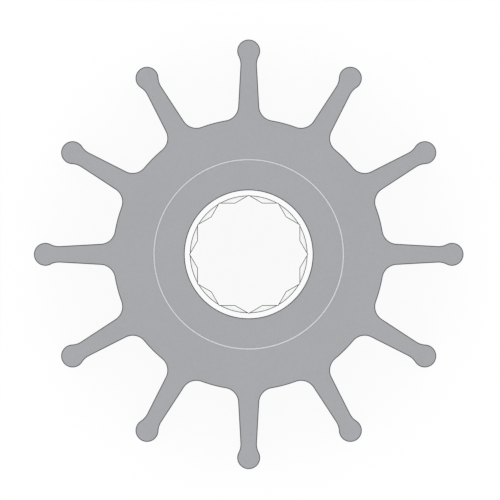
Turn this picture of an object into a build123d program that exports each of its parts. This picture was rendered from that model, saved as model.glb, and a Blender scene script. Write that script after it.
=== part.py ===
from build123d import *
import math
import os

# A flexible pump impeller, lying on one end face. The rubber wheel of hub, vanes and tip beads
# is one moulding, bonded round a machined metal insert with a twelve-point drive bore.
# +Z is the shaft axis. The origin is where that axis meets the lower end face.
# All sizes are in millimetres.

# Rubber wheel, seen along the shaft
outside_diameter = 95.2
hub_diameter = 60.2
vane_count = 12
bead_diameter = 5.08
vane_root_thickness = 4.94
vane_tip_thickness = 3.28
root_fillet = 3.3
neck_fillet = 4.1

# Rubber wheel, along the shaft
wheel_width = 63.5
end_edge_bevel = 0.35
recess_diameter = 42.0
recess_depth = 0.8
recess_wall_angle = 30.0
lip_bevel = 0.12

# Metal insert, outside
insert_wall = 1.31
insert_edge_bevel = 0.12
key_flute_count = 12
key_flute_radius = 1.6
key_flute_depth = 0.9
key_land_length = 5.0

# Metal insert, drive bore. The points of the bore run a little wider than its round mouths.
drive_points_diameter = 26.02
point_relief = 0.12
mouth_depth = 5.0
mouth_edge_bevel = 0.14
tooth_edge_bevel = 0.14

# Sizes that follow from those above
hub_radius = hub_diameter / 2
bead_radius = bead_diameter / 2
bead_centre_radius = outside_diameter / 2 - bead_radius
recess_radius = recess_diameter / 2
insert_length = wheel_width - 2 * recess_depth
drive_points_radius = drive_points_diameter / 2
insert_radius = drive_points_radius + insert_wall
mouth_radius = drive_points_radius - point_relief

# The bore is two six-sided holes on one axis, the second turned by half a corner
corners_per_hexagon = 6
drive_point_pitch = 360 / (2 * corners_per_hexagon)

# Round bodies stand on their lower end, with their axis on the shaft's
STANDING = (Align.CENTER, Align.CENTER, Align.MIN)


def distance_from_axis(point):
    """How far a point or vertex stands from the shaft axis."""
    return math.hypot(point.X, point.Y)


def end_rims(shape, radius):
    """The lowest and the highest round edge of a shape that have this radius."""
    circles = shape.edges().filter_by(GeomType.CIRCLE)
    rims = circles.filter_by(lambda edge: abs(edge.radius - radius) < 0.01).sort_by(Axis.Z)
    return [rims[0], rims[-1]]


def both_ends(shape):
    """A shape that cuts into the lower end of the wheel, with its mirror image at the upper end."""
    middle = Plane.XY.offset(wheel_width / 2)
    return shape + mirror(shape, about=middle)


def vane_plan():
    """One straight vane in plan, from inside the hub to the centre of its bead, tapering outwards."""
    taper = (vane_root_thickness - vane_tip_thickness) / (bead_centre_radius - hub_radius)
    inner_radius = insert_radius
    inner_thickness = vane_root_thickness + taper * (hub_radius - inner_radius)
    return Polygon(
        (inner_radius, -inner_thickness / 2),
        (bead_centre_radius, -vane_tip_thickness / 2),
        (bead_centre_radius, vane_tip_thickness / 2),
        (inner_radius, inner_thickness / 2),
        align=None,
    )


def wheel_plan():
    """The rubber seen along the shaft, blended where each vane meets the hub and its bead."""
    with BuildSketch() as plan:
        Circle(hub_radius)
        with PolarLocations(0, vane_count):
            vane_plan()
        with PolarLocations(bead_centre_radius, vane_count):
            Circle(bead_radius)
    roots = [v for v in plan.sketch.vertices() if abs(distance_from_axis(v) - hub_radius) < 0.01]
    outline = fillet(roots, root_fillet)
    neck_start = bead_centre_radius - bead_radius
    necks = [v for v in outline.vertices() if neck_start < distance_from_axis(v) < bead_centre_radius]
    return fillet(necks, neck_fillet)


def end_recess():
    """The shallow recess in the lower end. Its wall slopes, and has the named size at mid-depth."""
    half_slope = recess_depth * math.tan(math.radians(recess_wall_angle)) / 2
    return Cone(recess_radius + half_slope, recess_radius - half_slope, recess_depth, align=STANDING)


def lip_groove():
    """The small bevel of the rubber's lip where it meets the insert, in the floor of the recess."""
    groove = Cone(insert_radius + lip_bevel, insert_radius, lip_bevel, align=STANDING)
    return Pos(0, 0, recess_depth) * groove


def key_flutes():
    """The cutters of the flutes round the insert, one behind each tooth of the bore."""
    centre_radius = insert_radius - key_flute_depth + key_flute_radius
    flute_length = insert_length - 2 * key_land_length
    cutter = Cylinder(key_flute_radius, flute_length, align=STANDING)
    places = PolarLocations(centre_radius, key_flute_count, start_angle=drive_point_pitch / 2)
    lift = Pos(0, 0, recess_depth + key_land_length)
    return [lift * place * cutter for place in places]


def insert_blank():
    """The outside of the insert, which the rubber closes round: a bush with its key flutes."""
    bush = Cylinder(insert_radius, insert_length, align=STANDING)
    return Pos(0, 0, recess_depth) * bush - key_flutes()


def drive_plan(points_radius):
    """The twelve-point outline, with its points this far from the axis."""
    with BuildSketch() as star:
        RegularPolygon(points_radius, corners_per_hexagon)
        RegularPolygon(points_radius, corners_per_hexagon, rotation=drive_point_pitch)
    return star.sketch


def drive_bevel(size):
    """A bevel of this size round the twelve-point outline, narrowing upwards to the outline itself."""
    wide_points_radius = drive_points_radius + size / math.cos(math.radians(drive_point_pitch))
    wide = drive_plan(wide_points_radius)
    narrow = Pos(0, 0, size) * drive_plan(drive_points_radius)
    return loft([wide, narrow], ruled=True)


def tooth_bevel():
    """The bevel on the teeth where they meet the shoulder. It narrows from the wall of the mouth."""
    countersink = Cone(mouth_radius, mouth_radius - tooth_edge_bevel, tooth_edge_bevel, align=STANDING)
    return drive_bevel(tooth_edge_bevel) & countersink


def bore_mouth():
    """The round mouth at the lower end of the bore, down to the flat shoulder on the teeth."""
    rim = Cone(mouth_radius + mouth_edge_bevel, mouth_radius, mouth_edge_bevel, align=STANDING)
    well = Cylinder(mouth_radius, mouth_depth, align=STANDING)
    mouth = rim + drive_bevel(mouth_edge_bevel) + well + Pos(0, 0, mouth_depth) * tooth_bevel()
    return Pos(0, 0, recess_depth) * mouth


def drive_insert():
    """The metal insert: the blank, bevelled at its ends, bored and broached."""
    blank = insert_blank()
    bush = chamfer(end_rims(blank, insert_radius), insert_edge_bevel)
    broached_hole = extrude(drive_plan(drive_points_radius), wheel_width)
    return bush - broached_hole - both_ends(bore_mouth())


def rubber_body():
    """The moulding: hub, vanes and beads in one, cut away for the recesses and for the insert."""
    wheel = extrude(wheel_plan(), wheel_width)
    end_outlines = wheel.edges().filter_by(Plane.XY)
    wheel = chamfer(end_outlines, end_edge_bevel)
    return wheel - both_ends(end_recess() + lip_groove()) - insert_blank()


os.makedirs("parts", exist_ok=True)
sub_parts = {"rubber_body": rubber_body(), "drive_insert": drive_insert()}
for name, shape in sub_parts.items():
    export_step(shape, f"parts/{name}.step")
    size = shape.bounding_box().size
    print(f"{name}: {shape.volume:.1f} mm3, {size.X:.2f} x {size.Y:.2f} x {size.Z:.2f} mm")
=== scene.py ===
# %% [markdown]
# A rubber pump impeller, dressed for its portrait.
# The real thing is a wheel of springy rubber, moulded round a metal insert that slides onto a pump's
# shaft. Its twelve vanes bend and unbend in the housing, and the round bead at the end of each one keeps
# the seal. It could be modelled from nothing by eye. This lesson loads the measured solids as a fixed
# frame instead, because every piece then has its true size and place from the start. It models the rubber
# again with soft edges and a mould line, finishes both pieces, and sets up a plain studio round them.

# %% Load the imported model
import math

import bmesh
import bpy
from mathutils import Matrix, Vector


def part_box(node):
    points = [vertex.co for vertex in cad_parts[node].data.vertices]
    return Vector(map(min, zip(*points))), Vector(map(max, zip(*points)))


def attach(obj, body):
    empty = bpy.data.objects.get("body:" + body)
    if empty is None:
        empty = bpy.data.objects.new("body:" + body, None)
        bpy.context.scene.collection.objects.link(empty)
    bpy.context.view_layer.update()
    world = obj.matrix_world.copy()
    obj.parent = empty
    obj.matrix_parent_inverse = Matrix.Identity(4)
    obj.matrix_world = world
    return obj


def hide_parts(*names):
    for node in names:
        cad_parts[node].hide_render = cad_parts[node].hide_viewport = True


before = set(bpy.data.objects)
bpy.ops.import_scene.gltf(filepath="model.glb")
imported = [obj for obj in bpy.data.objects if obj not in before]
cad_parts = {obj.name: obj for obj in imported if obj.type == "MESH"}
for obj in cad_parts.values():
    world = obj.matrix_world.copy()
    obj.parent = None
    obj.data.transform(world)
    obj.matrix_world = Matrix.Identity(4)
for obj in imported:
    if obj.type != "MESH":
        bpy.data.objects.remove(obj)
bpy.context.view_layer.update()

# %% [markdown]
# The sizes. Everything is in metres, with the shaft's axis on Z and one end face on the floor. The sizes
# could be read off the solids' corners, but a fillet or a bevel is hard to read that way. So the width, the
# insert and the recess come from the frame, and the rest are written once by the names they have on a
# drawing of the wheel.

# %% Sizes of the wheel
MM = 0.001
wheel_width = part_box("rubber_body")[1].z
insert_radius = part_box("drive_insert")[1].x
recess_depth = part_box("drive_insert")[0].z

outside_radius = 47.6 * MM
hub_radius = 30.1 * MM
vane_count = 12
vane_root_thickness = 4.94 * MM
vane_tip_thickness = 3.28 * MM
bead_radius = 2.54 * MM
root_fillet = 3.3 * MM
neck_fillet = 4.1 * MM
recess_rim_radius = 21.23 * MM
recess_floor_radius = 20.77 * MM
lip_bevel = 0.12 * MM

shaft = Vector((0, 0, 0))
bead_centre = Vector((outside_radius - bead_radius, 0, 0))
vane_pitch = math.tau / vane_count
print("width", wheel_width, "insert radius", insert_radius, "recess", recess_depth)

# %% [markdown]
# The camera looks straight down the shaft, as a plan drawing does. A long lens from far away would come
# close, but the bore would still show its walls, and the lower ends of the beads would peep out beside the
# necks of the vanes. In a plan nothing gets smaller with distance, so the camera is orthographic. Such a
# camera has a width of view in place of a lens. The wheel's place and span in the picture are in pixels,
# and its known diameter turns them into metres.

# %% Camera
picture_size = 500
wheel_span_px = 429.66
wheel_centre_px = Vector((248.69, 254.33))
camera_height = 0.5
metres_per_px = 2 * outside_radius / wheel_span_px

view_data = bpy.data.cameras.new("plan_camera")
view_data.type = "ORTHO"
view_data.ortho_scale = picture_size * metres_per_px
camera = bpy.data.objects.new("plan_camera", view_data)
bpy.context.scene.collection.objects.link(camera)
bpy.context.scene.camera = camera
camera.location = (
    (picture_size / 2 - wheel_centre_px.x) * metres_per_px,
    (wheel_centre_px.y - picture_size / 2) * metres_per_px,
    camera_height,
)
print("the view is", round(view_data.ortho_scale / MM, 1), "mm wide")

# %% [markdown]
# Helpers for modelling by hand in code. An operator works on whatever is selected, so each step first
# picks its corners, edges or faces. By hand one would click on them. In code their numbers could be listed,
# but those change with every step, so they are picked by where they lie.

# %% Helpers for picking
TOUCH = 0.01 * MM


def open_for_editing(piece):
    bpy.ops.object.select_all(action="DESELECT")
    bpy.context.view_layer.objects.active = piece
    piece.select_set(True)
    bpy.ops.object.mode_set(mode="EDIT")


def close_editing():
    bpy.ops.object.mode_set(mode="OBJECT")


def pick(kind, test):
    """Selects only the corners, edges or faces that pass a test, and says how many did."""
    bpy.ops.mesh.select_mode(type=kind)
    bpy.ops.mesh.select_all(action="DESELECT")
    mesh = bpy.context.edit_object.data
    shape = bmesh.from_edit_mesh(mesh)
    items = {"VERT": shape.verts, "EDGE": shape.edges, "FACE": shape.faces}[kind]
    chosen = [item for item in items if test(item)]
    for item in chosen:
        item.select_set(True)
    shape.select_flush_mode()
    bmesh.update_edit_mesh(mesh)
    return len(chosen)


print("a corner counts as in place within", TOUCH / MM, "mm")

# %% [markdown]
# Places on a round part. A point could be given by its X and Y alone, but everything on a wheel is so far
# from the shaft and so far round it. One helper reads that distance off a point, and the other sets a
# point by distance and angle.

# %% Helpers for places
def from_axis(point):
    return math.hypot(point.x, point.y)


def polar(radius, angle):
    return Vector((radius * math.cos(angle), radius * math.sin(angle), 0))


tip_of_second_vane = polar(outside_radius, vane_pitch)
print("the tip of the second vane is", round(from_axis(tip_of_second_vane) / MM, 2), "mm from the shaft")

# %% [markdown]
# Where the arcs of one vane meet. The outline of half a vane is five curves: a bit of the hub, the root
# fillet, the tapering flank, the fillet at the neck of the bead, and the bead. Sharp corners could be drawn
# and bevelled, but a bevel is given a width, not the radius that a drawing states. A true fillet touches a
# line and a circle, and its centre is at a known distance from both, so the centres are worked out first.

# %% Centres of the two fillets
flank_start = Vector((hub_radius, vane_root_thickness / 2, 0))
flank_end = Vector((bead_centre.x, vane_tip_thickness / 2, 0))
flank_way = (flank_end - flank_start).normalized()
flank_normal = Vector((-flank_way.y, flank_way.x, 0))


def fillet_centre(fillet, circle_centre, circle_radius, side):
    """The centre of an arc that touches the flank from outside and a circle from outside."""
    start = flank_start + flank_normal * fillet - circle_centre
    along = start.dot(flank_way)
    reach = circle_radius + fillet
    step = -along + side * math.sqrt(along**2 - start.length_squared + reach**2)
    return circle_centre + start + flank_way * step


root_centre = fillet_centre(root_fillet, shaft, hub_radius, 1)
neck_centre = fillet_centre(neck_fillet, bead_centre, bead_radius, -1)
hub_touch = root_centre.normalized() * hub_radius
flank_touch_root = root_centre - flank_normal * root_fillet
flank_touch_neck = neck_centre - flank_normal * neck_fillet
bead_touch = bead_centre + (neck_centre - bead_centre).normalized() * bead_radius
print("root centre", root_centre / MM, "neck centre", neck_centre / MM)

# %% [markdown]
# Drawing with Spin. An outline could be traced with a curve, but a curve only comes near a true arc. Spin
# swings the last corner about a centre and leaves an arc of corners behind, each exactly in its place, and
# Extrude draws the straight runs between two arcs. Without a window Spin turns clockwise for a positive
# angle, so the angle is given its other sign.

# %% Helpers for drawing
def turn_between(centre, start, end):
    """The signed angle from start to end about a centre, counter-clockwise positive."""
    a = start - centre
    b = end - centre
    return math.atan2(a.x * b.y - a.y * b.x, a.dot(b))


def swing(centre, start, end, steps):
    angle = -turn_between(centre, start, end)
    bpy.ops.mesh.spin(steps=steps, angle=angle, center=centre, axis=(0, 0, 1))


def stretch(way):
    bpy.ops.mesh.extrude_vertices_move(TRANSFORM_OT_translate={"value": way})


def weld():
    bpy.ops.mesh.select_all(action="SELECT")
    bpy.ops.mesh.remove_doubles(threshold=TOUCH)


root_turn = turn_between(root_centre, hub_touch, flank_touch_root)
print("the root fillet turns by", round(math.degrees(root_turn), 1), "degrees")

# %% [markdown]
# The outline of one vane. It starts from a tiny plane merged to one corner, in the middle of a gap. A chain
# of spins carries that corner along the hub and up the vane to the tip of the bead. The way back could be
# drawn too, but a mirrored copy of the first half is sure to match it.

# %% Outline of one vane
arc_steps = {"hub": 3, "root": 12, "neck": 8, "bead": 20}
gap_middle = polar(hub_radius, vane_pitch / 2)
bead_tip = bead_centre + Vector((bead_radius, 0, 0))

bpy.ops.object.select_all(action="DESELECT")
bpy.ops.mesh.primitive_plane_add(size=MM, location=gap_middle)
rubber = bpy.context.active_object
rubber.name = "rubber_wheel"
bpy.ops.object.transform_apply(location=True, rotation=True, scale=True)
open_for_editing(rubber)
bpy.ops.mesh.select_all(action="SELECT")
bpy.ops.mesh.merge(type="CENTER")
swing(shaft, gap_middle, hub_touch, arc_steps["hub"])
swing(root_centre, hub_touch, flank_touch_root, arc_steps["root"])
stretch(flank_touch_neck - flank_touch_root)
swing(neck_centre, flank_touch_neck, bead_touch, arc_steps["neck"])
swing(bead_centre, bead_touch, bead_tip, arc_steps["bead"])
bpy.ops.mesh.select_all(action="SELECT")
bpy.ops.mesh.duplicate()
bpy.ops.transform.resize(value=(1, -1, 1), center_override=shaft)
weld()
close_editing()
print("corners along one vane", len(rubber.data.vertices))

# %% [markdown]
# From the outline to a slice of the wheel's end. Two straight sides run in towards the shaft, and an arc
# joins them where the end recess starts. The loop is filled with one face. Then come the circles on the
# end: the floor of the recess, the bevel of the rubber's lip, and the hole for the insert. They could be cut
# out of the finished solid, but that leaves ragged faces round every cut. Rings drawn inwards from the arc
# stay even, and scaling about the shaft's axis keeps each one round.

# %% One twelfth of the wheel, flat
ring_steps = 14
ring_radii = [recess_floor_radius, insert_radius + lip_bevel, insert_radius]

open_for_editing(rubber)
pick("VERT", lambda v: (v.co - gap_middle).length < TOUCH)
stretch(polar(recess_rim_radius - hub_radius, vane_pitch / 2))
swing(shaft, polar(1, vane_pitch / 2), polar(1, -vane_pitch / 2), ring_steps)
stretch(polar(hub_radius - recess_rim_radius, -vane_pitch / 2))
weld()
bpy.ops.mesh.edge_face_add()
ring = recess_rim_radius
for smaller in ring_radii:
    pick("EDGE", lambda e: all(abs(from_axis(v.co) - ring) < TOUCH for v in e.verts))
    bpy.ops.mesh.extrude_region()
    bpy.ops.transform.resize(value=(smaller / ring, smaller / ring, 1), center_override=shaft)
    ring = smaller
close_editing()
print("faces in one twelfth", len(rubber.data.polygons))

# %% [markdown]
# Twelve times round the shaft. An Array modifier that turns about an empty would do it, but it needs that
# second object. Spin with copies switched on sets the slice down eleven more times about the shaft itself,
# and the seams between neighbours are welded, so the end of the wheel is one flat sheet.

# %% Twelve slices
def copy_round_shaft():
    """Sets what is selected down once more for each of the other vanes."""
    copies = vane_count - 1
    bpy.ops.mesh.spin(steps=copies, angle=vane_pitch * copies, dupli=True, center=shaft, axis=(0, 0, 1))


open_for_editing(rubber)
bpy.ops.mesh.select_all(action="SELECT")
copy_round_shaft()
weld()
close_editing()
print("corners round the wheel", len(rubber.data.vertices), "faces", len(rubber.data.polygons))

# %% [markdown]
# The sheet is pulled up to the wheel's width, and gets its mould line on the way. A mould for such a wheel
# closes at mid-width, and the thin skin of rubber that creeps into the joint is trimmed off afterwards,
# which leaves a fine line a little below the surface. It could be a dark line in the material, but then
# the shape itself wouldn't have it. So the sheet is pulled in four steps, which leaves three levels close
# together, and Shrink/Fatten presses the middle one in.

# %% Solid wheel with its mould line
mould_line_half_width = 0.16 * MM
mould_line_depth = 0.06 * MM
middle_height = wheel_width / 2
levels = [middle_height - mould_line_half_width, middle_height, middle_height + mould_line_half_width]

open_for_editing(rubber)
height = 0.0
for level in [*levels, wheel_width]:
    pick("FACE", lambda f: all(abs(v.co.z - height) < TOUCH for v in f.verts))
    bpy.ops.mesh.extrude_region_move(TRANSFORM_OT_translate={"value": (0, 0, level - height)})
    height = level
bpy.ops.mesh.select_all(action="SELECT")
bpy.ops.mesh.normals_make_consistent(inside=False)
pick("VERT", lambda v: abs(v.co.z - middle_height) < TOUCH and from_axis(v.co) > hub_radius - TOUCH)
bpy.ops.transform.shrink_fatten(value=-mould_line_depth)
close_editing()
print("wheel box", [round(x / MM, 2) for x in rubber.dimensions])

# %% [markdown]
# The end recess. Both ends of a real wheel are sunk a little inside a fine step, so that the hub doesn't
# rub on the pump's cover. A Boolean with a flat cone would sink them too. The rings are there already, so
# it is enough to move their corners in, which leaves a sloping wall between the first two. The lip round
# the insert moves in a little further, which bevels it.

# %% Recess at both ends
open_for_editing(rubber)
for end_height, inwards in ((0, 1), (wheel_width, -1)):
    pick("VERT", lambda v: abs(v.co.z - end_height) < TOUCH and from_axis(v.co) < insert_radius + TOUCH)
    bpy.ops.transform.translate(value=(0, 0, inwards * (recess_depth + lip_bevel)))
    pick("VERT", lambda v: abs(v.co.z - end_height) < TOUCH and from_axis(v.co) < recess_floor_radius + TOUCH)
    bpy.ops.transform.translate(value=(0, 0, inwards * recess_depth))
close_editing()
print("the lip starts", round((recess_depth + lip_bevel) / MM, 2), "mm in from the end")

# %% [markdown]
# Which edges are soft. Rubber comes out of its mould with slightly rounded edges, and they are what catches
# the light. A Bevel modifier could find the sharp ones by their angle, but it would take those of the bore
# too, which hug the metal. So an edge is found by what it joins, a face of the end and a wall, and by
# whether it runs round the outline of the wheel or round the step of the recess.

# %% Tests for edges
nearly_flat = 0.9
RING_TOUCH = 5 * TOUCH


def on_end(v):
    return abs(v.co.z) < TOUCH or abs(v.co.z - wheel_width) < TOUCH


def joins_end_and_wall(e):
    tilts = sorted(abs(f.normal.z) for f in e.link_faces)
    return tilts[0] < nearly_flat < tilts[1]


def on_ring(e, radius):
    return all(abs(from_axis(v.co) - radius) < RING_TOUCH for v in e.verts)


def on_outline(e):
    return all(map(on_end, e.verts)) and joins_end_and_wall(e) and not on_ring(e, recess_rim_radius)


def on_step(e):
    return joins_end_and_wall(e) and (on_ring(e, recess_rim_radius) or on_ring(e, recess_floor_radius))


print("an edge of the end has one face that is flatter than", nearly_flat)

# %% [markdown]
# Rounding them. The outline gets the larger rounding, in four steps. The step of the recess is fine, and
# one size for both would eat it up, so its two edges get a smaller rounding of their own.

# %% Rounded edges
edge_radius = 0.35 * MM
edge_segments = 4
recess_edge_radius = 0.12 * MM
recess_edge_segments = 2


def round_picked(radius, segments):
    bpy.ops.mesh.bevel(offset=radius, segments=segments, profile=0.5, affect="EDGES", clamp_overlap=False)


open_for_editing(rubber)
found = pick("EDGE", on_outline)
round_picked(edge_radius, edge_segments)
found_in_recess = pick("EDGE", on_step)
round_picked(recess_edge_radius, recess_edge_segments)
close_editing()
print("edges rounded", found, "and in the recesses", found_in_recess)

# %% [markdown]
# The keys of rubber that fill the flutes of the insert. They are why the rubber can't turn on the metal.
# They can't be seen from outside, but the wheel isn't whole without them. They could be drawn into the flat
# sheet, but they stop short of both ends, so the bore would have to change its outline on the way up. One
# round bar is added instead, and copied round the shaft as the slices were.

# %% Keys in the insert's flutes
key_radius = 1.6 * MM
key_depth = 0.9 * MM
key_land = 5.0 * MM
key_sides = 28
key_centre = polar(insert_radius - key_depth + key_radius, vane_pitch / 2)
key_centre.z = middle_height
key_length = wheel_width - 2 * (recess_depth + key_land)

bpy.ops.object.select_all(action="DESELECT")
bpy.ops.mesh.primitive_cylinder_add(
    vertices=key_sides, radius=key_radius, depth=key_length, location=key_centre
)
keys = bpy.context.active_object
keys.name = "rubber_keys"
bpy.ops.object.transform_apply(location=True, rotation=True, scale=True)
open_for_editing(keys)
bpy.ops.mesh.select_all(action="SELECT")
copy_round_shaft()
bpy.ops.mesh.select_all(action="SELECT")
bpy.ops.mesh.normals_make_consistent(inside=False)
close_editing()
print("bars", vane_count, "each", round(key_length / MM, 1), "mm long")

# %% [markdown]
# Joining them to the wheel. The bars could be joined as they are, but their backs would stay inside the
# rubber as hidden walls. A Boolean modifier melts them into it, and leaves only the side of each bar that
# stands out into a flute. The bars aren't needed after that.

# %% Joined keys
joining = rubber.modifiers.new("join_keys", "BOOLEAN")
joining.operation = "UNION"
joining.object = keys
bpy.ops.object.select_all(action="DESELECT")
bpy.context.view_layer.objects.active = rubber
rubber.select_set(True)
bpy.ops.object.modifier_apply(modifier=joining.name)
bpy.data.objects.remove(keys)
print("wheel with its keys", len(rubber.data.polygons), "faces")

# %% [markdown]
# A lasting order for the faces. Blender's tools may number corners, edges and faces in another order each
# time they run, on the same shape. Left like that, two renders could differ in the last digit of a tone.
# Sort Elements numbers them by their distance from the cursor, but two that are equally far can still
# swap. So each gets a number from where its corners are along a slanting line, and is sorted by that. The
# sum is an exact one, which is the same whichever corner comes first.

# %% Lasting order
slant_y = 0.7310585
slant_z = 0.3678794


def place_number(corners):
    return math.fsum(v.co.x + slant_y * v.co.y + slant_z * v.co.z for v in corners)


open_for_editing(rubber)
shape = bmesh.from_edit_mesh(rubber.data)
shape.verts.sort(key=lambda v: place_number([v]))
shape.edges.sort(key=lambda e: place_number(e.verts))
shape.faces.sort(key=lambda f: place_number(f.verts))
close_editing()
print("first corner of the wheel", [round(x / MM, 2) for x in rubber.data.vertices[0].co])

# %% [markdown]
# Shading. With flat shading every arc would show its facets, and with plain smooth shading the flat ends
# would look puffed. So faces are smooth where they meet at under thirty degrees, and the normals are
# weighted by the size of the faces. The ends then stay flat right up to the rounded edges, which take the
# whole turn. The wheel is also hung here from what it moves with, and the solid it stands in for is hidden.

# %% Shading
smooth_under = math.radians(30)
bpy.ops.object.shade_smooth_by_angle(angle=smooth_under)
weighting = rubber.modifiers.new("weighted_normals", "WEIGHTED_NORMAL")
weighting.keep_sharp = True
bpy.ops.object.modifier_apply(modifier=weighting.name)
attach(rubber, "root")
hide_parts("rubber_body")

# %% [markdown]
# Helpers for nodes. A finish is a small machine of nodes, which by hand is wired up in the shader editor.
# Every node could be written out in full, but that takes four lines each and hides what the machine does.
# One helper adds a node at its place, and one adds a sum of two values, so that the cells below read like a
# list of what the finish is made of.

# %% Helpers for nodes
def add_node(tree, kind, place, **settings):
    node = tree.nodes.new(kind)
    node.location = place
    for name, value in settings.items():
        setattr(node, name, value)
    return node


def math_node(tree, operation, place, first, second=None):
    """A Math node whose two inputs are each a number or another node's socket."""
    node = add_node(tree, "ShaderNodeMath", place, operation=operation)
    for socket, value in zip(node.inputs, (first, second)):
        if isinstance(value, (int, float)):
            socket.default_value = value
        elif value is not None:
            tree.links.new(value, socket)
    return node.outputs[0]


print("helpers for nodes and sums are ready")

# %% [markdown]
# Groups of nodes. An effect that both materials use could be copied from one to the other, but then a
# change has to be made twice. A group holds it once, with named sockets for what goes in and what comes
# out, and each material gives it its own values. All sockets here are plain numbers.

# %% Helper for groups
def new_group(name, inputs, outputs):
    group = bpy.data.node_groups.new(name, "ShaderNodeTree")
    for label, value in inputs.items():
        socket = group.interface.new_socket(name=label, in_out="INPUT", socket_type="NodeSocketFloat")
        socket.default_value = value
    for label in outputs:
        group.interface.new_socket(name=label, in_out="OUTPUT", socket_type="NodeSocketFloat")
    start = add_node(group, "NodeGroupInput", (-900, 0))
    end = add_node(group, "NodeGroupOutput", (900, 0))
    return group, start, end


print("a helper for groups is ready")

# %% [markdown]
# Where a point is on the wheel. Much of the finish of a round part follows its shape: rings on its ends,
# lines along its walls. It could be painted on an unwrapped map, but the shape itself says where each mark
# belongs. This group tells both materials how far a point is from the shaft, in millimetres, and how
# squarely the surface there faces along the shaft, from 0 on a wall to 1 on an end. It reads Object
# coordinates, because they stay on the piece when the camera or the wheel moves.

# %% Where a point is on the wheel
MM_PER_METRE = 1000.0
place_group, start, end = new_group("place_on_wheel", {}, ["Radius mm", "Facing"])
where = add_node(place_group, "ShaderNodeTexCoord", (-900, 200))
split = add_node(place_group, "ShaderNodeSeparateXYZ", (-700, 200))
tilt = add_node(place_group, "ShaderNodeSeparateXYZ", (-500, -100))
place_group.links.new(where.outputs["Object"], split.inputs[0])
place_group.links.new(where.outputs["Normal"], tilt.inputs[0])
x_squared = math_node(place_group, "POWER", (-500, 300), split.outputs["X"], 2.0)
y_squared = math_node(place_group, "POWER", (-500, 150), split.outputs["Y"], 2.0)
sum_of_squares = math_node(place_group, "ADD", (-300, 250), x_squared, y_squared)
radius_m = math_node(place_group, "SQRT", (-100, 250), sum_of_squares)
radius_mm = math_node(place_group, "MULTIPLY", (100, 250), radius_m, MM_PER_METRE)
facing = math_node(place_group, "ABSOLUTE", (100, -100), tilt.outputs["Z"])
place_group.links.new(radius_mm, end.inputs["Radius mm"])
place_group.links.new(facing, end.inputs["Facing"])
print("group", place_group.name)

# %% [markdown]
# A soft-edged band. Fed with the radius it makes a ring on the end of the wheel, and fed with the facing it
# finds the bevels, which are neither end nor wall. A colour ramp would do the same for one band, but its
# stops can't be inputs of a group. So the band is worked out from its middle: inside it the mask is 1,
# outside it is 0, and the change between them is as soft as asked for.

# %% A soft-edged band of a value
band_group, start, end = new_group(
    "soft_band", {"Value": 0.0, "Middle": 0.0, "Half Width": 1.0, "Softness": 0.1}, ["Mask"]
)
half_width = start.outputs["Half Width"]
softness = start.outputs["Softness"]
offset = math_node(band_group, "SUBTRACT", (-600, 100), start.outputs["Value"], start.outputs["Middle"])
away = math_node(band_group, "ABSOLUTE", (-400, 100), offset)
outer = math_node(band_group, "ADD", (-400, -100), half_width, softness)
inner = math_node(band_group, "SUBTRACT", (-400, -250), half_width, softness)
fade = add_node(band_group, "ShaderNodeMapRange", (0, 0), interpolation_type="SMOOTHSTEP")
band_group.links.new(away, fade.inputs["Value"])
band_group.links.new(inner, fade.inputs["From Min"])
band_group.links.new(outer, fade.inputs["From Max"])
fade.inputs["To Min"].default_value = 1.0
fade.inputs["To Max"].default_value = 0.0
band_group.links.new(fade.outputs["Result"], end.inputs["Mask"])
print("group", band_group.name)

# %% [markdown]
# Noise that swings round zero. Clouds, tool marks and the specks in rubber have no pattern, and a noise
# texture is made for just that. It could be added to a tone as it comes, but it lies between 0 and 1, and
# would make everything lighter. Taken down by its mean it swings as far up as down, so a tone or a
# roughness stays where it was on the whole.

# %% Noise that swings
NOISE_MEAN = 0.5


def noise_node(tree, place, vector, scale, detail, roughness):
    node = add_node(tree, "ShaderNodeTexNoise", place)
    node.inputs["Detail"].default_value = detail
    node.inputs["Roughness"].default_value = roughness
    tree.links.new(vector, node.inputs["Vector"])
    if isinstance(scale, float):
        node.inputs["Scale"].default_value = scale
    else:
        tree.links.new(scale, node.inputs["Scale"])
    return math_node(tree, "SUBTRACT", (place[0] + 250, place[1]), node.outputs["Fac"], NOISE_MEAN)


print("noise swings by", NOISE_MEAN, "either way")

# %% [markdown]
# A faint cloudiness. No real surface has quite one tone: rubber has patches where it cooled faster, and
# metal has a breath of oil on it. It could be painted by hand, but each material would then need its own
# painting. One group with a size and an amount gives both of them their own clouds. The swing is doubled
# first, so that the amount is how far it goes either way.

# %% Cloudiness
cloud_group, start, end = new_group("cloudy_film", {"Size mm": 12.0, "Amount": 0.05}, ["Swing"])
where = add_node(cloud_group, "ShaderNodeTexCoord", (-900, 200))
per_metre = math_node(cloud_group, "DIVIDE", (-600, -100), MM_PER_METRE, start.outputs["Size mm"])
centred = noise_node(cloud_group, (-300, 100), where.outputs["Object"], per_metre, detail=4.0, roughness=0.55)
doubled = math_node(cloud_group, "MULTIPLY", (200, 100), centred, 2.0)
film_swing = math_node(cloud_group, "MULTIPLY", (400, 100), doubled, start.outputs["Amount"])
cloud_group.links.new(film_swing, end.inputs["Swing"])
print("group", cloud_group.name)

# %% [markdown]
# Tool marks. A lathe leaves rings on a face, and a broach or a drawn mould leaves lines along a wall. Wave
# textures give rings and lines too, but evenly spaced ones, like a thread. Real marks differ in width and
# depth, so both are one noise, looked up in two ways: by the radius alone on a face, and with the height
# squeezed on a wall, which stretches each spot into a long stroke.

# %% Tool marks
stroke_squeeze = (1.0, 1.0, 0.02)
more_end_than_wall = 0.5

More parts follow.
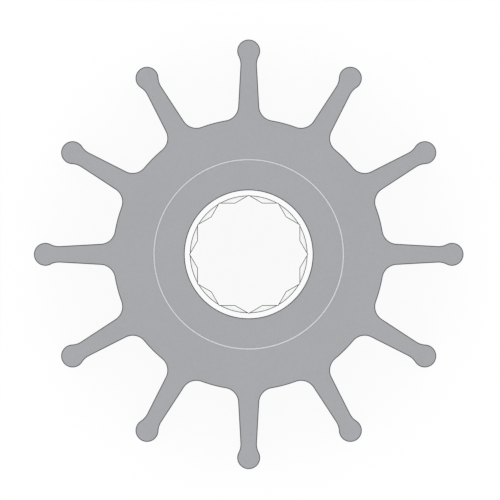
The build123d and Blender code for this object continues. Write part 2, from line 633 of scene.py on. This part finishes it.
marks_group, start, end = new_group(
    "tool_marks", {"Radius mm": 0.0, "Facing": 0.0, "Size mm": 0.4}, ["Swing"]
)
where = add_node(marks_group, "ShaderNodeTexCoord", (-900, 300))
strokes = add_node(marks_group, "ShaderNodeMapping", (-650, 300))
strokes.inputs["Scale"].default_value = stroke_squeeze
marks_group.links.new(where.outputs["Object"], strokes.inputs["Vector"])
radius_m = math_node(marks_group, "DIVIDE", (-650, 50), start.outputs["Radius mm"], MM_PER_METRE)
rings = add_node(marks_group, "ShaderNodeCombineXYZ", (-450, 100))
marks_group.links.new(radius_m, rings.inputs["X"])
is_end = math_node(marks_group, "GREATER_THAN", (-650, -100), start.outputs["Facing"], more_end_than_wall)
choose = add_node(marks_group, "ShaderNodeMix", (-200, 200), data_type="VECTOR")
marks_group.links.new(is_end, choose.inputs["Factor"])
marks_group.links.new(strokes.outputs["Vector"], choose.inputs["A"])
marks_group.links.new(rings.outputs["Vector"], choose.inputs["B"])
per_metre = math_node(marks_group, "DIVIDE", (-200, -150), MM_PER_METRE, start.outputs["Size mm"])
centred = noise_node(marks_group, (100, 100), choose.outputs["Result"], per_metre, detail=5.0, roughness=0.6)
marks_swing = math_node(marks_group, "MULTIPLY", (550, 100), centred, 2.0)
marks_group.links.new(marks_swing, end.inputs["Swing"])
print("group", marks_group.name)

# %% [markdown]
# Helpers for materials. The groups are ready, and now a material is built from them. Each one starts as
# Blender's own Principled shader with a roughness and a metalness. All its sockets could be plain numbers,
# but no real surface is so even. A second helper places a group in the material and gives it its values by
# name, and what comes out goes into those sockets.

# %% Helpers for materials
def new_material(name, roughness, metallic):
    made = bpy.data.materials.new(name)
    made.use_nodes = True
    shader = made.node_tree.nodes["Principled BSDF"]
    shader.inputs["Roughness"].default_value = roughness
    shader.inputs["Metallic"].default_value = metallic
    return made, made.node_tree, shader


def use_group(tree, group, place, **values):
    """Places a group. Each value is a number or another node's socket."""
    node = add_node(tree, "ShaderNodeGroup", place, node_tree=group)
    for name, value in values.items():
        socket = node.inputs[name.replace("_", " ")]
        if isinstance(value, (int, float)):
            socket.default_value = value
        else:
            tree.links.new(value, socket)
    return node.outputs


print("helpers for materials are ready")

# %% [markdown]
# What makes rubber look like rubber. It isn't one flat grey up close: a grain of under a millimetre, lighter
# and darker specks of filler, runs through all of it, and a faint film lies over it in patches. The walls
# also carry the long strokes of the mould that they were drawn from, which the flat ends don't have. A
# photograph of rubber could be wrapped on, but it would repeat and have seams, so all three are made of
# noise here, and the colour and the touch below both use them.

# %% Rubber grain, film and strokes
rubber_roughness = 0.62
rubber_shine = 0.3
specks_per_metre = 1600.0
standing_wall = {"Middle": 0.0, "Half_Width": 0.15, "Softness": 0.05}

rubber_material, tree, shader = new_material("moulded_rubber", rubber_roughness, 0.0)
shader.inputs["Specular IOR Level"].default_value = rubber_shine
spot = use_group(tree, place_group, (-2200, 200))
radius_mm = spot["Radius mm"]
facing = spot["Facing"]

where = add_node(tree, "ShaderNodeTexCoord", (-1900, -850))
specks = noise_node(
    tree, (-1500, -850), where.outputs["Object"], specks_per_metre, detail=4.0, roughness=0.65
)
film = use_group(tree, cloud_group, (-1500, -100), Size_mm=14.0, Amount=0.045)
strokes = use_group(tree, marks_group, (-1500, -300), Radius_mm=radius_mm, Facing=facing, Size_mm=1.1)
wall = use_group(tree, band_group, (-1500, 100), Value=facing, **standing_wall)
wall_strokes = math_node(tree, "MULTIPLY", (-1250, -200), strokes["Swing"], wall["Mask"])
print("material", rubber_material.name, "has", len(tree.nodes), "nodes so far")

# %% [markdown]
# Helpers for colours. Two things happen to a colour in both materials: another one is laid over it where a
# mask says so, and it gets a little lighter and darker by a swing. A Brightness and Contrast node could do
# the second, but it adds as much to the red as to the blue, which changes the hue. Scaling the colour as a
# vector keeps it.

# %% Helpers for colours
def blend_colour(tree, place, mask, first, second):
    """Goes from the first colour to the second as the mask goes from 0 to 1."""
    node = add_node(tree, "ShaderNodeMix", place, data_type="RGBA")
    tree.links.new(mask, node.inputs["Factor"])
    for socket, value in ((node.inputs["A"], first), (node.inputs["B"], second)):
        if isinstance(value, tuple):
            socket.default_value = value
        else:
            tree.links.new(value, socket)
    return node.outputs["Result"]


def tinted(tree, place, colour, swing):
    """A colour made lighter and darker by a value that swings round zero."""
    node = add_node(tree, "ShaderNodeVectorMath", place, operation="SCALE")
    node.inputs[0].default_value = colour[:3]
    factor = math_node(tree, "ADD", (place[0] - 200, place[1]), swing, 1.0)
    tree.links.new(factor, node.inputs["Scale"])
    return node.outputs[0]


print("helpers for colours are ready")

# %% [markdown]
# The rubber's colour. It is a mid-grey nitrile compound. Its rounded edges are painted darker, as painted
# shade for edges that turn away from the light above, and the sloping step of the end recess is painted
# pale, as a painted highlight, which shows as one thin light circle on the hub. Separate materials on
# separate faces would give hard borders that follow the facets, so both are laid over the grey by soft
# bands, one of the facing and one of the radius. The fine edges inside the recess stay grey.

# %% Rubber colour
rubber_grey = (0.385, 0.395, 0.411, 1.0)
# Painted shade: the dark grey of the rounded edges, which stands for their shade under the light above.
painted_edge_shade_grey = (0.085, 0.088, 0.093, 1.0)
# Painted highlight: the pale colour of the thin light circle on the step of the recess.
painted_highlight_grey = (0.85, 0.86, 0.88, 1.0)
stroke_tone = 0.14
speck_tone = 0.12
rounded_edge = {"Middle": 0.53, "Half_Width": 0.37, "Softness": 0.06}
dark_edges_from_mm = 22.0
recess_step = {"Middle": 20.98, "Half_Width": 0.14, "Softness": 0.04}

toned_strokes = math_node(tree, "MULTIPLY", (-1100, -200), wall_strokes, stroke_tone)
toned_specks = math_node(tree, "MULTIPLY", (-1100, -850), specks, speck_tone)
film_and_strokes = math_node(tree, "ADD", (-950, -100), film["Swing"], toned_strokes)
all_marks = math_node(tree, "ADD", (-950, -250), film_and_strokes, toned_specks)
grey = tinted(tree, (-700, 0), rubber_grey, all_marks)

# Painted shade: the rounded edges outside the recess get the dark grey, picked out by how they face.
edge = use_group(tree, band_group, (-1500, 700), Value=facing, **rounded_edge)
outside_recess = math_node(tree, "GREATER_THAN", (-1500, 900), radius_mm, dark_edges_from_mm)
painted_edge_shade_mask = math_node(tree, "MULTIPLY", (-1200, 750), edge["Mask"], outside_recess)
# Painted highlight: the step of the recess gets the pale colour, picked out by its radius.
step_highlight = use_group(tree, band_group, (-1500, 300), Value=radius_mm, **recess_step)
with_step_highlight = blend_colour(tree, (-500, 100), step_highlight["Mask"], grey, painted_highlight_grey)
with_painted_edge_shade = blend_colour(tree, (-200, 300), painted_edge_shade_mask, with_step_highlight, painted_edge_shade_grey)
tree.links.new(with_painted_edge_shade, shader.inputs["Base Color"])
print("rubber grey", rubber_grey[:3])

# %% [markdown]
# The rubber's touch. It is matt all over, and a little smoother on the crowns of the beads, where the wheel
# was last handled and rubbed. The same grain breaks up its shine, and the strokes of the walls are felt as
# well as seen. They could be cut into the mesh, but at a few hundredths of a millimetre they would need
# millions of faces, so a Bump node tilts the light instead. Its distance turns the marks into heights.

# %% Rubber roughness and relief
crown_of_bead = {"Middle": 47.8, "Half_Width": 1.0, "Softness": 0.6}
crown_polish = -0.14
film_on_roughness = 1.2
relief_strength = 0.5
relief_height = 0.1 * MM

crown = use_group(tree, band_group, (-1500, -500), Value=radius_mm, **crown_of_bead)
rubbed = math_node(tree, "MULTIPLY", (-1250, -500), crown["Mask"], crown_polish)
uneven = math_node(tree, "MULTIPLY", (-1250, -650), film["Swing"], film_on_roughness)
change = math_node(tree, "ADD", (-1150, -600), rubbed, uneven)
roughness = math_node(tree, "ADD", (-1050, -550), change, rubber_roughness)
tree.links.new(roughness, shader.inputs["Roughness"])


def add_relief(tree, shader, height, strength, distance):
    bump = add_node(tree, "ShaderNodeBump", (-300, -400))
    bump.inputs["Strength"].default_value = strength
    bump.inputs["Distance"].default_value = distance
    tree.links.new(height, bump.inputs["Height"])
    tree.links.new(bump.outputs["Normal"], shader.inputs["Normal"])


relief = math_node(tree, "ADD", (-900, -800), specks, wall_strokes)
add_relief(tree, shader, relief, relief_strength, relief_height)
rubber.data.materials.clear()
rubber.data.materials.append(rubber_material)
print("material", rubber_material.name, "on", rubber.name)

# %% [markdown]
# The metal's tones. The insert is bright, plain metal. Its faced ends are the brightest, with the fine rings
# of the lathe in them, and the walls of the bore are painted a little greyer, with the broach's long lines.
# That greyer tone is painted shade, which gives the bore its depth: one tone all over would be simpler, but
# then the bore looks like a hole in paper. The band of facings near 0 tells the two apart.

# %% Metal tones
metal_white = (0.96, 0.96, 0.965, 1.0)
# Painted shade: the greyer tone of the bore's walls.
bore_shade_grey = (0.78, 0.78, 0.785, 1.0)
ring_tone = 0.06
line_tone = 0.5
bore_wall = {"Middle": 0.0, "Half_Width": 0.3, "Softness": 0.1}
metal_roughness = 0.2

metal_material, tree, shader = new_material("bright_metal", metal_roughness, 1.0)
spot = use_group(tree, place_group, (-2000, 200))
radius_mm = spot["Radius mm"]
facing = spot["Facing"]
marks = use_group(tree, marks_group, (-1500, -400), Radius_mm=radius_mm, Facing=facing, Size_mm=0.3)
film = use_group(tree, cloud_group, (-1200, 0), Size_mm=6.0, Amount=0.02)
toned_rings = math_node(tree, "MULTIPLY", (-1000, 50), marks["Swing"], ring_tone)
face_marks = math_node(tree, "ADD", (-850, 50), film["Swing"], toned_rings)
face_colour = tinted(tree, (-700, 100), metal_white, face_marks)
toned_lines = math_node(tree, "MULTIPLY", (-1000, -100), marks["Swing"], line_tone)
wall_colour = tinted(tree, (-700, -100), bore_shade_grey, toned_lines)
wall = use_group(tree, band_group, (-1200, -200), Value=facing, **bore_wall)
face_or_wall = blend_colour(tree, (-550, 50), wall["Mask"], face_colour, wall_colour)
print("metal white", metal_white[:3])

# %% [markdown]
# The metal's thin dark lines. Its small bevels are cut last, with a sharp tool held at an angle, and they
# are painted near-black, as painted shade for the darker surroundings a tilted bevel reflects, so they show
# as lines round the ring, round the mouth of the bore and round every tooth. They could get a material of
# their own, but the insert's mesh is measured and stays as it is. The band of facings between a wall and an
# end picks out exactly those bevels. A darker band at the seam against the rubber makes the outermost
# line a little wider.

# %% Metal lines
# Painted shade: the near-black of the bevels.
bevel_shade_grey = (0.02, 0.02, 0.021, 1.0)
metal_bevel = {"Middle": 0.6, "Half_Width": 0.28, "Softness": 0.06}
# A darker band at the seam against the rubber, which widens the outermost painted line.
dark_seam_band = {"Middle": 14.25, "Half_Width": 0.07, "Softness": 0.01}

# Painted shade: the bevels get the near-black, picked out by how they face.
bevel = use_group(tree, band_group, (-1200, 300), Value=facing, **metal_bevel)
seam = use_group(tree, band_group, (-1200, 550), Value=radius_mm, **dark_seam_band)
dark_lines = math_node(tree, "MAXIMUM", (-900, 400), bevel["Mask"], seam["Mask"])
with_lines = blend_colour(tree, (-400, 100), dark_lines, face_or_wall, bevel_shade_grey)
tree.links.new(with_lines, shader.inputs["Base Color"])
print("bevel grey", bevel_shade_grey[:3])

# %% [markdown]
# The metal's touch. Its ends are faced on a lathe, which leaves fine rings, and the bore is cut by a broach
# that is pulled through, which leaves fine lines along the shaft. An anisotropic shine would imitate both,
# but it doesn't show single marks from close by. The group of tool marks does: it changes the shine a
# little and stands a hundredth of a millimetre high. The broached walls are rougher than the faced ends,
# which also keeps the bore from looking black inside.

# %% Metal roughness and marks
mark_roughness = 0.1
broached_roughness = 0.18
mark_strength = 0.2
mark_height = 0.03 * MM

worn = math_node(tree, "MULTIPLY", (-1200, -300), marks["Swing"], mark_roughness)
broached = math_node(tree, "MULTIPLY", (-1200, -500), wall["Mask"], broached_roughness)
change = math_node(tree, "ADD", (-1000, -400), worn, broached)
roughness = math_node(tree, "ADD", (-850, -300), change, metal_roughness)
tree.links.new(roughness, shader.inputs["Roughness"])
add_relief(tree, shader, marks["Swing"], mark_strength, mark_height)
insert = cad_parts["drive_insert"]
insert.data.materials.clear()
insert.data.materials.append(metal_material)
print("material", metal_material.name, "on", insert.name)

# %% [markdown]
# Who is looking. The picture has a pure white background. Strong lamps on a white wall would give one, but
# they would bleach the wheel as well. So the surround and the floor are full white where they are looked
# at, by the camera or in a reflection, and dimmer where they only bring light. The Light Path node tells
# the two apart.

# %% Helper for what is looked at
def looked_at(tree, place):
    """1 for a ray from the camera, a reflection or a refraction, and 0 for one that only brings light."""
    rays = add_node(tree, "ShaderNodeLightPath", place)
    x, y = place
    seen = math_node(tree, "ADD", (x + 200, y), rays.outputs["Is Camera Ray"], rays.outputs["Is Glossy Ray"])
    seen = math_node(tree, "ADD", (x + 400, y), seen, rays.outputs["Is Transmission Ray"])
    return math_node(tree, "MINIMUM", (x + 600, y), seen, 1.0)


print("a helper for what is looked at is ready")

# %% [markdown]
# The studio's surround. It is an even white on all sides, as in a light tent, which is how shiny metal is
# photographed. Walls could be built for it, but they would have to stand far off to be even, and a world
# has no distance. The Standard view shows each tone as it is mixed.

# %% Surround
surround_light = 0.62

bpy.context.scene.view_settings.view_transform = "Standard"
world = bpy.data.worlds.new("white_surround")
bpy.context.scene.world = world
world.use_nodes = True
tree = world.node_tree
strength = add_node(tree, "ShaderNodeMapRange", (-100, 200))
tree.links.new(looked_at(tree, (-900, 200)), strength.inputs["Value"])
strength.inputs["To Min"].default_value = surround_light
strength.inputs["To Max"].default_value = 1.0
background = tree.nodes["Background"]
background.inputs["Color"].default_value = (1, 1, 1, 1)
tree.links.new(strength.outputs["Result"], background.inputs["Strength"])
print("surround as a light", surround_light)

# %% [markdown]
# One large soft lamp, nearly overhead. Several small lamps would throw several hard shadows. A square two
# metres wide, a metre and a half up, lights all sides of such a small wheel about alike, and a little more
# from one side, so that its forms still show. Its power follows from how bright each spot of it should be.
# It is hidden from reflections, because the metal would otherwise mirror the lamp and the surround behind
# it, both at once, and wash out the thin dark lines.

# %% Soft lamp
lamp_size = 2.0
lamp_radiance = 0.95
lamp_place = Vector((-0.05, 0.04, 1.5))
lamp_aim = Vector((0, 0, wheel_width))

lamp_data = bpy.data.lights.new("soft_lamp", "AREA")
lamp_data.shape = "SQUARE"
lamp_data.size = lamp_size
lamp_data.energy = lamp_radiance * math.pi * lamp_size**2
lamp = bpy.data.objects.new("soft_lamp", lamp_data)
bpy.context.scene.collection.objects.link(lamp)
lamp.location = lamp_place
lamp.rotation_euler = (lamp_aim - lamp_place).to_track_quat("-Z", "Y").to_euler()
lamp.visible_glossy = False
print("lamp watts", round(lamp_data.energy, 2))

# %% [markdown]
# The floor that the wheel lies on. A plain white sheet would turn grey where the lamp doesn't reach, and it
# would throw light up onto the walls. So it lies a hair below the wheel, and neither lights the wheel nor
# shades it.

# %% Floor
floor_span = 6
floor_drop = 0.05 * MM

bpy.ops.object.select_all(action="DESELECT")
bpy.ops.mesh.primitive_plane_add(size=floor_span, location=(0, 0, -floor_drop))
floor = bpy.context.active_object
floor.name = "floor"
bpy.ops.object.transform_apply(location=True, rotation=True, scale=True)
floor.visible_diffuse = False
floor.visible_shadow = False
print("floor", floor.name, floor_span, "m wide")

# %% [markdown]
# The floor's white. Like the surround, most of it is a glow of its own, seen by the camera and in
# reflections. The rest is lit, which keeps the wheel's soft shadow on it. A sheet that only glowed would
# have no shadow, and one that was only lit would have a dark one, where the picture has next to none. From
# below it is clear, so that the other end of the wheel can be looked at too.

# %% White of the floor
floor_glow = 0.92
floor_white = 0.1

floor_material = bpy.data.materials.new("white_floor")
floor_material.use_nodes = True
tree = floor_material.node_tree
tree.nodes.remove(tree.nodes["Principled BSDF"])
matt = add_node(tree, "ShaderNodeBsdfDiffuse", (-400, 200))
matt.inputs["Color"].default_value = (floor_white, floor_white, floor_white, 1)
glow = add_node(tree, "ShaderNodeEmission", (-400, 0))
glow_seen = math_node(tree, "MULTIPLY", (-600, -50), looked_at(tree, (-1400, 50)), floor_glow)
tree.links.new(glow_seen, glow.inputs["Strength"])
matt_and_glow = add_node(tree, "ShaderNodeAddShader", (-200, 100))
tree.links.new(matt.outputs[0], matt_and_glow.inputs[0])
tree.links.new(glow.outputs[0], matt_and_glow.inputs[1])

clear = add_node(tree, "ShaderNodeBsdfTransparent", (-200, -100))
side = add_node(tree, "ShaderNodeNewGeometry", (-400, 400))
above_or_below = add_node(tree, "ShaderNodeMixShader", (0, 100))
tree.links.new(side.outputs["Backfacing"], above_or_below.inputs["Fac"])
tree.links.new(matt_and_glow.outputs[0], above_or_below.inputs[1])
tree.links.new(clear.outputs[0], above_or_below.inputs[2])
tree.links.new(above_or_below.outputs[0], tree.nodes["Material Output"].inputs["Surface"])
floor.data.materials.append(floor_material)
print("material", floor_material.name, "on", floor.name)

# %% [markdown]
# Last, the scene is brought up to date. Rounding edges only takes material off, so the dressed wheel
# fills the same box as the solid one.

# %% The end of the lesson
bpy.context.view_layer.update()
